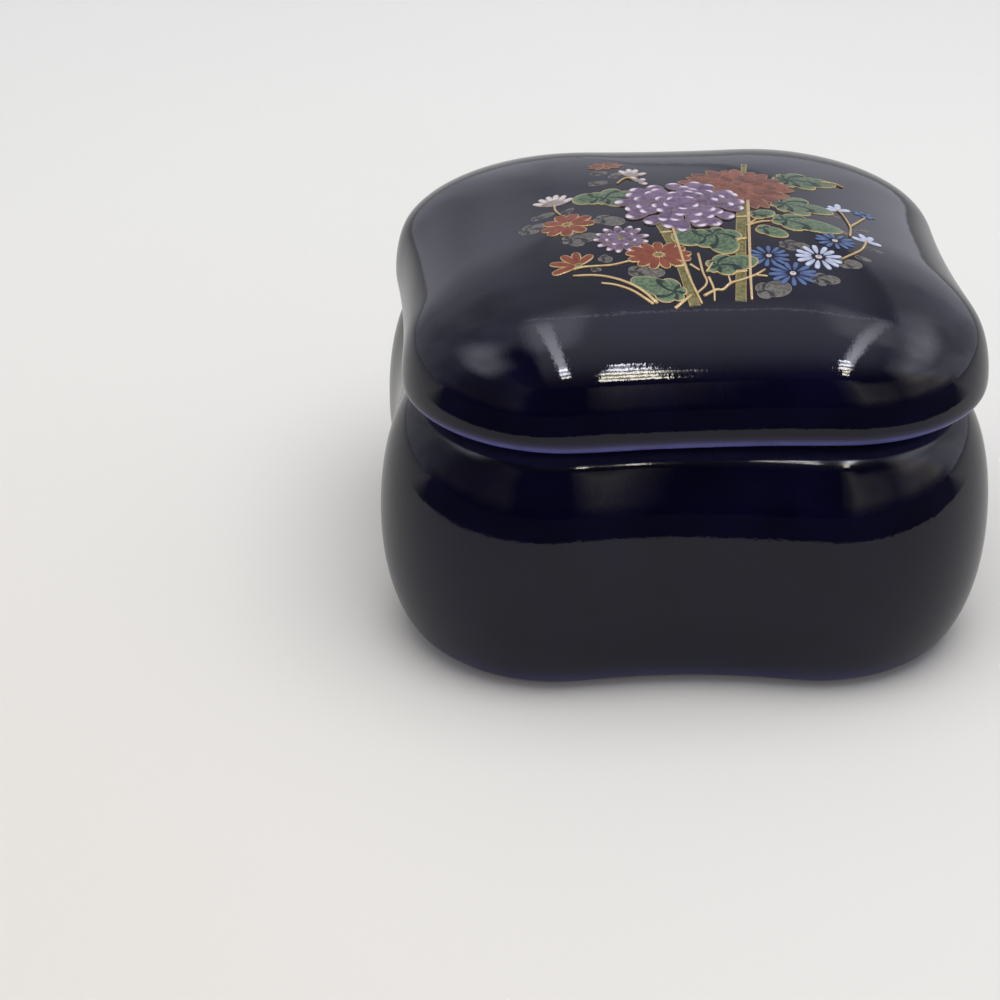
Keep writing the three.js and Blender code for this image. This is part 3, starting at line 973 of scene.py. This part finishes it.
enamel_piece("spray_green_leaves", green, GREEN)

# %% The two full chrysanthemums
RUST_CIRCLES = [(0.45, 1.0, 22), (0.32, 0.8, 18), (0.18, 0.58, 13), (0.02, 0.34, 8)]
LILAC_CIRCLES = [(0.62, 1.0, 19), (0.4, 0.77, 15), (0.18, 0.54, 10), (0.0, 0.3, 5)]
rust_head = full_head((6.0, 2.0), (12.2, 11.4), RUST_CIRCLES, 0.08, blunt=0.62)
rust_head.append(blossom((-7.3, 10.3), (4.0, 2.8), 9, 0.06, inner=0.1, blunt=0.5))
enamel_piece("spray_rust_chrysanthemum", rust_head, RUST_MUM)
lilac_head = full_head((-0.4, -2.8), (13.2, 12.2), LILAC_CIRCLES, 0.15, blunt=0.36,
                       fullness=0.47, spread=0.09)
SMALL_LILAC = (-7.6, -10.3)
lilac_head.append(blossom(SMALL_LILAC, (5.7, 5.6), 13, 0.08, turn=0.2, inner=0.15, blunt=0.36))
lilac_head.append(blossom(SMALL_LILAC, (3.2, 3.0), 7, 0.11, turn=0.5, inner=0.1, blunt=0.36))
enamel_piece("spray_lilac_flowers", lilac_head, LILAC)

# %% The small flowers, of which the asters have slender petals that stand apart
ASTER = {"fullness": 0.68, "blunt": 0.26}
rust_small = [
    blossom((-12.7, -5.6), (5.5, 5.6), 9, 0.08, turn=0.5, inner=0.15, fullness=1.0),
    blossom((-4.1, -13.7), (6.8, 4.8), 13, 0.1, turn=0.1, inner=0.15, blunt=0.4, fullness=1.15),
    fan((-12.4, -14.7), [(-15.1, -13.7), (-15.0, -15.6), (-13.8, -12.5), (-12.4, -12.2), (-10.8, -13.0)],
        0.52, 0.06),
]
enamel_piece("spray_rust_flowers", rust_small, RUST)
blue_small = [
    blossom((7.0, -14.3), (4.2, 3.6), 13, 0.06, turn=0.1, inner=0.3, **ASTER),
    blossom((9.0, -17.3), (4.9, 3.8), 13, 0.07, turn=0.3, inner=0.28, **ASTER),
    blossom((14.4, -10.4), (4.2, 3.4), 12, 0.06, inner=0.3, **ASTER),
    blossom((19.2, -1.0), (2.4, 1.6), 7, 0.05),
]
enamel_piece("spray_blue_flowers", blue_small, BLUE)
pale_small = [
    blossom((12.1, -14.2), (4.8, 4.4), 13, 0.09, turn=0.2, inner=0.32, **ASTER),
    fan((18.0, -9.2), [(16.5, -8.7), (17.6, -7.4), (18.8, -7.6), (19.5, -9.3)], 0.36, 0.05),
    fan((16.2, -1.6), [(15.0, -1.7), (15.4, -0.7), (16.6, 0.3), (17.7, -0.8)], 0.36, 0.05),
]
enamel_piece("spray_pale_flowers", pale_small, PALE)
cream_small = [
    fan((-13.6, 0.1), [(-15.7, 1.9), (-15.0, 2.7), (-14.1, 3.0), (-13.2, 3.0), (-12.3, 2.5), (-11.6, 1.4)],
        0.42, 0.05),
    fan((-5.0, 5.8), [(-5.9, 8.2), (-4.9, 8.6), (-4.1, 8.3), (-3.2, 6.9)], 0.42, 0.05),
    fan((-4.3, 4.0), [(-4.9, 6.0), (-3.6, 5.0), (-3.5, 3.2)], 0.4, 0.05),
]
enamel_piece("spray_cream_flowers", cream_small, CREAM)

# %% Hearts of the flowers
def hearts(places, name, material):
    """Small round hearts of flowers, given as centre and size."""
    pads = [leaf(centre, size, size * 0.85, 0.0, lobes=7, notch=0.08, root=0.0, lift=0.12, around=42)
            for centre, size in places]
    return enamel_piece(name, pads, material)


hearts([((-12.7, -5.6), 0.8), ((-4.1, -13.7), 0.9), ((-7.6, -10.3), 0.8), ((-12.3, -14.7), 0.8)],
       "spray_olive_hearts", OLIVE)
hearts([((7.0, -14.3), 0.55), ((9.0, -17.3), 0.65), ((14.4, -10.4), 0.6), ((12.1, -14.2), 0.7)],
       "spray_cream_hearts", CREAM)

# %% Gold stems, twigs and grasses
GOLD_LINES = [
    # half width, points
    (0.17, [(-5.0, -21.0), (-6.2, -19.4), (-7.4, -18.3), (-9.1, -17.3), (-10.8, -16.7), (-13.0, -16.4)]),
    (0.16, [(-5.4, -21.1), (-6.3, -20.2), (-7.4, -19.2), (-8.9, -18.4), (-10.3, -18.0)]),
    (0.15, [(-12.9, -15.3), (-11.7, -15.1), (-9.1, -15.2), (-7.0, -14.6)]),
    (0.17, [(-2.1, -8.2), (-1.9, -12.2), (-1.5, -17.0), (-0.6, -21.2)]),
    (0.17, [(-3.3, -21.7), (-1.5, -20.0)]),
    (0.19, [(6.6, -1.8), (4.9, -15.7), (4.4, -20.9)]),
    (0.14, [(-0.1, -13.6), (0.0, -16.6), (0.2, -18.4), (-0.9, -19.8)]),
    (0.14, [(-1.1, -15.4), (-0.3, -16.4)]),
    (0.14, [(0.4, -16.7), (1.2, -15.2)]),
    (0.14, [(0.5, -17.5), (0.8, -19.3), (0.7, -20.9)]),
    (0.15, [(-0.3, -20.2), (1.0, -19.4), (1.7, -19.4), (2.6, -18.5), (3.7, -18.1), (5.2, -17.4),
            (6.3, -16.6)]),
    (0.13, [(5.2, -17.4), (6.4, -17.7)]), (0.13, [(2.6, -18.5), (2.5, -17.5)]),
    (0.15, [(5.6, -8.3), (7.0, -7.4), (8.2, -7.1)]), (0.13, [(5.6, -8.3), (6.9, -6.6)]),
    (0.12, [(-13.6, 0.2), (-13.6, -1.2), (-13.2, -2.6)]), (0.12, [(-4.6, 4.6), (-5.5, 5.4), (-6.6, 3.9)]),
    (0.12, [(16.3, -8.7), (16.8, -6.0), (16.6, -2.8), (16.2, -1.6)]),
    (0.12, [(16.8, -6.0), (18.0, -4.0), (19.1, -2.1)]),
    (0.13, [(18.0, -9.1), (16.9, -11.7), (14.5, -14.2)]),
    (0.1, [(15.8, 6.1), (17.2, 6.5), (18.2, 6.0)]),
]
NODE_RINGS = [((4.6, -11.0), 0.15), ((3.85, -16.8), 0.12), ((5.35, -6.2), 0.15), ((-2.1, -15.6), 0.12),
              ((-2.9, -9.3), 0.12)]
gold = [line(points, 0.9 * width, 0.13 + 0.002 * index, stations=24, taper=0.65)
        for index, (width, points) in enumerate(GOLD_LINES)]
gold += [line([(x - 0.62, y - 0.1), (x, y), (x + 0.62, y + 0.12)], width, 0.12, stations=8, taper=1.0)
         for (x, y), width in NODE_RINGS]
enamel_piece("spray_gold_lines", gold, GOLD_PAINT)

# %% [markdown]
# ## The floor and the light
# The box stands on plain pale paper in a small light tent. What a black glaze shows is the tent
# itself: bright paper behind and at the sides, a dimmer roof with a lamp in it, and the dark
# opening in front. The world is painted with that, by direction. The paper ends just in front
# of the box, and a mirror-like glaze shows that edge too, so the floor is dark there, but only
# to mirrored rays. To the camera it is paper all over, with painted light that makes it lighter
# to the back and painted shade that makes it darker and warmer to the left.

# %% Floor
FLOOR_HALF_SIZE = 3.0
PAPER_REACH = 0.122
# Painted shade: the paper is darker and warmer to the left.
PAPER_LEFT_PAINTED_SHADE = (0.72, 0.69, 0.66, 1)
PAPER_NEAR = (0.735, 0.72, 0.705, 1)
# Painted light: the paper is lighter to the back.
PAPER_FAR_PAINTED_LIGHT = (0.82, 0.83, 0.83, 1)
PAPER_EDGE = 0.002
# Painted shade: the share of its colour that the paper keeps in reflections.
MIRRORED_SHARE = 0.62
BEYOND_PAPER = (0.02, 0.02, 0.022, 1)


def paper_floor():
    """Pale, faintly mottled paper, with painted light that makes it a little lighter to the back
    and painted shade that makes it darker and warmer to the left. Mirrored rays see it dimmer,
    as painted shade, and see it end in a curve in front of the box."""
    material, tree, shader = new_material("pale_paper")
    place = place_of(tree)
    x, y = add(tree, "ShaderNodeSeparateXYZ", {0: place}).outputs[:2]
    # Painted shade, darker and warmer to the left.
    near = blend(tree, ramp(tree, x, -0.09, 0.02), PAPER_LEFT_PAINTED_SHADE, PAPER_NEAR)
    # Painted light, lighter to the back.
    colour = blend(tree, ramp(tree, y, -0.15, 0.25), near, PAPER_FAR_PAINTED_LIGHT)
    mottled = ramp(tree, noise(tree, place, 9.0, 3.0), 0.3, 0.7, 0.985, 1.0)
    mirrored = add(tree, "ShaderNodeLightPath").outputs["Is Glossy Ray"]
    # Painted shade: mirrored rays see the paper dimmer.
    dimmed = between(tree, mirrored, mottled, MIRRORED_SHARE)
    scaled = add(tree, "ShaderNodeVectorMath", {0: colour, "Scale": dimmed}, operation="SCALE").outputs[0]
    away = maths(tree, "SQRT", total(tree, product(tree, x, x), product(tree, y, y)))
    past_edge = ramp(tree, away, PAPER_REACH - PAPER_EDGE, PAPER_REACH)
    in_front = ramp(tree, y, -0.02, 0.02, 1.0, 0.0)
    colour = blend(tree, product(tree, mirrored, past_edge, in_front), scaled, BEYOND_PAPER)
    tree.links.new(colour, shader.inputs["Base Color"])
    shader.inputs["Roughness"].default_value = 0.8
    shader.inputs["Specular IOR Level"].default_value = 0.2
    return material


corners = [(-FLOOR_HALF_SIZE, -FLOOR_HALF_SIZE, 0), (FLOOR_HALF_SIZE, -FLOOR_HALF_SIZE, 0),
           (FLOOR_HALF_SIZE, FLOOR_HALF_SIZE, 0), (-FLOOR_HALF_SIZE, FLOOR_HALF_SIZE, 0)]
floor_mesh = bpy.data.meshes.new("floor")
floor_mesh.from_pydata(corners, [], [(0, 1, 2, 3)])
floor_mesh.materials.append(paper_floor())
floor = bpy.data.objects.new("floor", floor_mesh)
bpy.context.scene.collection.objects.link(floor)
floor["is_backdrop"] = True

# %% [markdown]
# ### The tent
# A direction can be told in two ways: by the place where it meets a flat roof, (x / z, y / z),
# which suits the lamps, or by its turn from the front and its height, which suits the walls.
# Each wall and lamp is a soft-edged patch in one of the two. The turn runs from -180 degrees
# over the left and the front at 0 to the right and 180 degrees at the back.

# %% Helpers for patches of light
def profile(tree, value, pairs):
    """A value read off a list of (place, result) pairs, straight between them."""
    low, high = pairs[0][0], pairs[-1][0]
    share = maths(tree, "DIVIDE", maths(tree, "SUBTRACT", value, low), high - low)
    made = add(tree, "ShaderNodeValToRGB", {0: share})
    elements = made.color_ramp.elements
    elements.remove(elements[-1])
    for index, (place, result) in enumerate(pairs):
        element = elements[0] if index == 0 else elements.new((place - low) / (high - low))
        element.position = (place - low) / (high - low)
        element.color = (result, result, result, 1)
    return made.outputs[0]


def inside(tree, value, low, high, soft):
    """1 between low and high, with edges that are soft wide."""
    rising = ramp(tree, value, low - soft / 2, low + soft / 2)
    falling = ramp(tree, value, high - soft / 2, high + soft / 2, 1.0, 0.0)
    return product(tree, rising, falling)


def patches(tree, place, table):
    """Soft-edged patches of light, added up. The place is a pair of coordinates, and each patch
    has where it starts and ends and how soft it is in either, and its brightness."""
    first, second = place
    return total(tree, *(product(tree, inside(tree, first, *across), inside(tree, second, *along), bright)
                         for across, along, bright in table))


# %% The tent's walls, windows and roof
WALLS = [(-180, 0.50), (-140, 0.50), (-110, 0.40), (-92, 0.30), (-78, 0.12), (-50, 0.10), (-34, 0.14),
         (-26, 0.02), (10, 0.012), (16, 0.2), (20, 0.5), (36, 0.3), (48, 0.15), (64, 0.5), (80, 0.75),
         (112, 0.75), (135, 0.66), (155, 0.62), (180, 0.52)]
ROOF = [(-1.1, 0.01), (-0.95, 0.03), (-0.7, 0.09), (-0.5, 0.23), (-0.25, 0.54), (0.0, 0.75),
        (0.33, 0.82), (0.42, 0.66), (0.5, 0.56), (1.2, 0.5)]
WINDOWS = [((-114, -74, 26), (42, 60, 14), 1.3), ((76, 128, 34), (37, 50, 12), 1.3),
           ((60, 82, 16), (22, 48, 14), 0.5)]
LEFT_GAP = [((-0.62, -0.24, 0.14), (-0.9, 0.14, 0.2), 1.0)]
RIGHT_GAP = [((22, 56, 14), (34, 56, 10), 1.0)]
GAP_LIGHT = 0.04
CREASES_ALONG = (3.5, 3.5, 1.6)


def walls_and_roof(tree, direction, on_walls, on_roof):
    """The broad light of the tent, by turn and height on the walls and by x and y on the roof.
    The front wall is dim at its foot, two gaps beside the roof are nearly dark, and the cloth
    of the walls is creased."""
    y = add(tree, "ShaderNodeSeparateXYZ", {0: direction}).outputs[1]
    foot = ramp(tree, on_walls[1], 0.0, 9.0, 0.2, 1.0)
    dim_foot = between(tree, ramp(tree, y, -0.1, 0.2, 1.0, 0.0), 1.0, foot)
    walls = product(tree, profile(tree, on_walls[0], WALLS), dim_foot)
    gap = maths(tree, "MAXIMUM", patches(tree, on_roof, LEFT_GAP), patches(tree, on_walls, RIGHT_GAP))
    walls = between(tree, gap, walls, GAP_LIGHT)
    creased = add(tree, "ShaderNodeVectorMath", {0: direction, 1: CREASES_ALONG}, operation="MULTIPLY")
    creases = ramp(tree, noise(tree, creased.outputs[0], 1.0), 0.3, 0.7, 0.8, 1.2)
    walls = product(tree, total(tree, walls, patches(tree, on_walls, WINDOWS)), creases)
    to_right = ramp(tree, on_roof[0], 0.38, 0.6, 1.0, 0.65)
    roof = product(tree, profile(tree, on_roof[1], ROOF), to_right)
    under_roof = product(tree, inside(tree, on_roof[0], -0.28, 0.66, 0.1),
                         ramp(tree, on_roof[1], -1.1, -0.95))
    return between(tree, under_roof, walls, roof)


# %% The lamps on the roof
LAMP = 34.0
LAMP_GLOW = 6.0
GLOW_AT_END = 0.12
HALOS = [((-0.32, -0.02, 0.14), (0.05, 0.48, 0.2), 0.8), ((0.25, 0.66, 0.16), (0.1, 0.5, 0.15), 0.6)]
DOTS_ACROSS = 2474.0
DOTS_ALONG = 66.0
SEAM_GLOW = 0.8


def bars_and_arch(tree, roof_x, roof_y):
    """Two glowing bars that run to the back, with a row of small lamps at the near end of each,
    and an arch of such lamps between them. Two crossing waves cut the lamps into dots."""
    off_left = total(tree, roof_x, linear(tree, roof_y, 0.175, 0.145))
    left = ramp(tree, maths(tree, "ABSOLUTE", off_left), 0.018, 0.052, 1.0, 0.0)
    bend = product(tree, roof_y, linear(tree, roof_y, -0.17, -0.313))
    off_right = total(tree, roof_x, bend, -0.381)
    right = ramp(tree, maths(tree, "ABSOLUTE", off_right), 0.012, 0.075, 1.0, 0.0)
    arch_edge = total(tree, roof_x, linear(tree, roof_y, 0.085, -0.177))
    arch = product(tree, ramp(tree, arch_edge, -0.003, 0.003), ramp(tree, roof_x, 0.29, 0.30, 1.0, 0.0),
                   inside(tree, roof_y, -0.77, -0.35, 0.03))
    left_lamps = product(tree, left, inside(tree, roof_y, -0.57, -0.3, 0.03))
    right_lamps = product(tree, right, inside(tree, roof_y, -0.60, -0.40, 0.03))
    lamps = maths(tree, "MINIMUM", total(tree, left_lamps, right_lamps, arch), 1.0)
    slanted = total(tree, roof_x, linear(tree, roof_y, 0.208))
    waves = total(tree, maths(tree, "SINE", linear(tree, slanted, DOTS_ACROSS)),
                  maths(tree, "SINE", linear(tree, roof_y, DOTS_ALONG)))
    dots = ramp(tree, waves, -0.2, 1.2, 0.08, 1.0)
    fading = ramp(tree, roof_y, -0.4, 0.5, LAMP_GLOW, GLOW_AT_END * LAMP_GLOW)
    glow = total(tree, product(tree, left, inside(tree, roof_y, -0.42, 0.40, 0.12)),
                 product(tree, right, inside(tree, roof_y, -0.42, 0.5, 0.12)))
    return total(tree, product(tree, lamps, dots, LAMP), product(tree, glow, fading))


def tent_light(tree, direction):
    """The brightness of the tent in a direction, with a bowed bright seam across the back of the
    roof, and how warm it is there."""
    x, y, z = add(tree, "ShaderNodeSeparateXYZ", {0: direction}).outputs[:3]
    up = maths(tree, "MAXIMUM", z, 0.02)
    roof_x, roof_y = maths(tree, "DIVIDE", x, up), maths(tree, "DIVIDE", y, up)
    turn = maths(tree, "DEGREES", maths(tree, "ARCTAN2", x, linear(tree, y, -1.0)))
    high = maths(tree, "DEGREES", maths(tree, "ARCSINE", z))
    broad = walls_and_roof(tree, direction, (turn, high), (roof_x, roof_y))
    bow = maths(tree, "POWER", maths(tree, "ABSOLUTE", linear(tree, roof_x, 1.0, -0.13)), 1.3)
    off_seam = maths(tree, "ABSOLUTE", total(tree, roof_y, linear(tree, bow, -0.5, -0.345)))
    seam = product(tree, ramp(tree, off_seam, 0.004, 0.012, 1.0, 0.0),
                   inside(tree, roof_x, -0.3, 0.6, 0.1), SEAM_GLOW)
    lamps = bars_and_arch(tree, roof_x, roof_y)
    light = total(tree, broad, lamps, patches(tree, (roof_x, roof_y), HALOS), seam)
    return light, ramp(tree, roof_y, -0.62, -0.42, 1.0, 0.0)


# %% The world: the tent for mirrored rays, an even dome for the rest
DOME_LOW = 0.48
DOME_HIGH = 0.58
COOL_LIGHT = (0.96, 0.965, 1.09, 1)
WARM_LIGHT = (1.0, 0.94, 0.78, 1)
DOME_COLOUR = (1.0, 0.99, 0.98, 1)
BACKDROP = (0.86, 0.87, 0.865, 1)


def background(tree, colour, strength):
    """The result of a Background node."""
    return add(tree, "ShaderNodeBackground", {"Color": colour, "Strength": strength}).outputs[0]


def either(tree, share, first, second):
    """The result of a Mix Shader node."""
    return add(tree, "ShaderNodeMixShader", {0: share, 1: first, 2: second}).outputs[0]


def tent_world():
    """Mirrored rays meet the painted tent. Scattered rays meet a dome that is brighter above,
    which lights the paper evenly, and the camera sees plain pale grey."""
    world = bpy.data.worlds.new("light_tent")
    world.use_nodes = True
    tree = world.node_tree
    tree.nodes.clear()
    direction = add(tree, "ShaderNodeTexCoord").outputs["Generated"]
    light, warmth = tent_light(tree, direction)
    tent = background(tree, blend(tree, warmth, COOL_LIGHT, WARM_LIGHT), light)
    height = add(tree, "ShaderNodeSeparateXYZ", {0: direction}).outputs[2]
    dome = background(tree, DOME_COLOUR, ramp(tree, height, 0.1, 0.9, DOME_LOW, DOME_HIGH))
    path = add(tree, "ShaderNodeLightPath")
    lighting = either(tree, path.outputs["Is Glossy Ray"], dome, tent)
    seen = either(tree, path.outputs["Is Camera Ray"], lighting, background(tree, BACKDROP, 1.0))
    tree.links.new(seen, tree.nodes.new("ShaderNodeOutputWorld").inputs[0])
    return world


bpy.context.scene.world = tent_world()

# %% A broad soft lamp above, for the paper and the enamels
SOFT_LAMP_SIZE = 0.55
SOFT_LAMP_POWER = 2.1
SOFT_LAMP_PLACE = Vector((0.04, -0.07, 0.53))
soft_lamp = bpy.data.lights.new("soft_lamp", "AREA")
soft_lamp.shape = "DISK"
soft_lamp.size = SOFT_LAMP_SIZE
soft_lamp.energy = SOFT_LAMP_POWER
soft_lamp_object = bpy.data.objects.new("soft_lamp", soft_lamp)
bpy.context.scene.collection.objects.link(soft_lamp_object)
soft_lamp_object.location = SOFT_LAMP_PLACE
soft_lamp_object.rotation_euler = (-SOFT_LAMP_PLACE).to_track_quat("-Z", "Y").to_euler()
soft_lamp_object.visible_glossy = False
bpy.context.scene.view_settings.view_transform = "Standard"
print("lamp power", SOFT_LAMP_POWER, "W at", [round(value, 2) for value in SOFT_LAMP_PLACE], "m")

# %% [markdown]
# ## Sizes
# The bounding boxes of the imported model and of the finished scene are both printed. The
# visual model has to stay as large as the imported one.

# %% Sizes of the imported model and the finished scene
finished_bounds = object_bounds()
sizes = {"packed": [list(corner) for corner in packed_bounds],
         "finished": [list(corner) for corner in finished_bounds]}
for name, box in sizes.items():
    print(name, [[round(value / MM, 2) for value in corner] for corner in box], "mm")
